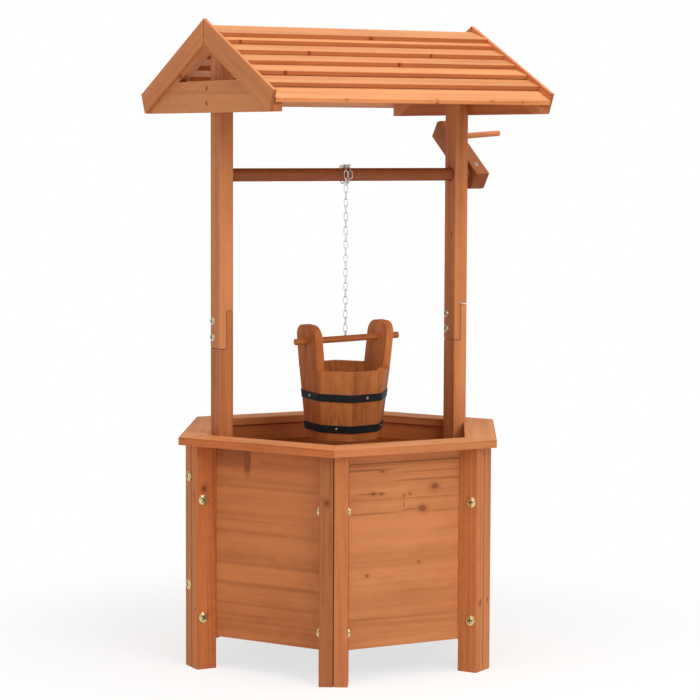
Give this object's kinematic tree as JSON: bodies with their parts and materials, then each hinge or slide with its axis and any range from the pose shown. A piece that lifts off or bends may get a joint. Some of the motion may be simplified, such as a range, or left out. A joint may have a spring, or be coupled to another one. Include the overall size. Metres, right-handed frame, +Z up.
{
  "type": "wishing well planter",
  "caption": "Six-sided wooden garden planter in the form of a wishing well, with a slatted gable roof on two posts, a crank winch and a bucket on a chain.",
  "frame": {"origin": "on the ground under the middle of the overall length, from the base's left corner to the end of the crank handle, and midway between front and back", "axes": "+X along the ridge and the axle towards the crank, +Y to the back, +Z up"},
  "size_m": [0.6999, 0.5474, 1.1198],
  "materials": {
    "frame_wood": "satin honey-brown stain",
    "panel_wood": "satin honey-brown stain with knots",
    "rim_wood": "satin honey-brown stain",
    "roof_wood": "satin light orange stain",
    "floor_wood": "satin brown stain",
    "bucket_wood": "satin brown stain",
    "yellow_zinc": "yellow zinc plated",
    "bright_zinc": "bright zinc plated",
    "chain_steel": "bright zinc plated",
    "hoop_metal": "satin black paint"
  },
  "bodies": {
    "planter": {"bargeboard_left_back": "frame_wood", "bargeboard_left_front": "frame_wood", "bargeboard_right_back": "frame_wood", "bargeboard_right_front": "frame_wood", "floor_boards": "floor_wood", "floor_rails": "floor_wood", "gable_screws": "bright_zinc", "leg_back_left": "frame_wood", "leg_back_right": "frame_wood", "leg_bolts": "yellow_zinc", "leg_front_left": "frame_wood", "leg_front_right": "frame_wood", "leg_left": "frame_wood", "leg_right": "frame_wood", "panel_back": "panel_wood", "panel_back_left": "panel_wood", "panel_back_right": "panel_wood", "panel_front": "panel_wood", "panel_front_left": "panel_wood", "panel_front_right": "panel_wood", "post_bolts": "yellow_zinc", "post_lower_left": "frame_wood", "post_lower_right": "frame_wood", "post_upper_left": "frame_wood", "post_upper_right": "frame_wood", "rafter_left_back": "frame_wood", "rafter_left_front": "frame_wood", "rafter_right_back": "frame_wood", "rafter_right_front": "frame_wood", "rim_back": "rim_wood", "rim_back_left": "rim_wood", "rim_back_right": "rim_wood", "rim_front": "rim_wood", "rim_front_left": "rim_wood", "rim_front_right": "rim_wood", "roof_slats_row_1": "roof_wood", "roof_slats_row_2": "roof_wood", "roof_slats_row_3": "roof_wood", "roof_slats_row_4": "roof_wood", "roof_slats_row_5": "roof_wood", "roof_slats_row_6": "roof_wood", "roof_slats_row_7": "roof_wood", "tie_beam_left": "frame_wood", "tie_beam_right": "frame_wood"},
    "winch": {"winch_axle": "bucket_wood", "crank_arm": "bucket_wood", "crank_handle": "bucket_wood", "winch_screws": "bright_zinc", "chain_on_axle": "chain_steel"},
    "chain": {"chain_hanging": "chain_steel"},
    "hanger": {"bucket_dowel": "bucket_wood", "chain_eye": "bright_zinc"},
    "bucket": {"bucket_ear_left": "bucket_wood", "bucket_ear_right": "bucket_wood", "bucket_staves_front": "bucket_wood", "bucket_staves_back": "bucket_wood", "bucket_floor": "bucket_wood", "bucket_hoop_upper": "hoop_metal", "bucket_hoop_lower": "hoop_metal", "bucket_rivets": "bright_zinc"}
  },
  "joints": [
    {"name": "winch_turn", "type": "hinge", "parent": "planter", "child": "winch", "pos_m": [-0.03403, 0, 0.8535], "axis": [-1, 0, 0], "range_deg": [0, 251]},
    {"name": "chain_swing", "type": "hinge", "parent": "planter", "child": "chain", "pos_m": [-0.03403, -0.01485, 0.8464], "axis": [1, 0, 0], "range_deg": [-12, 12]},
    {"name": "bucket_lift", "type": "slide", "parent": "chain", "child": "hanger", "axis": [0, 0, 1], "range_m": [0, 0.0651], "deforming": ["chain_hanging"]},
    {"name": "bucket_tip", "type": "hinge", "parent": "hanger", "child": "bucket", "pos_m": [-0.03403, -0.01485, 0.56435], "axis": [0.9943, 0.1045, 0.0192], "range_deg": [-60, 56]}
  ],
  "couplings": [
    {"joint": "bucket_lift", "follows": "winch_turn", "m_per_rad": 0.014847}
  ]
}
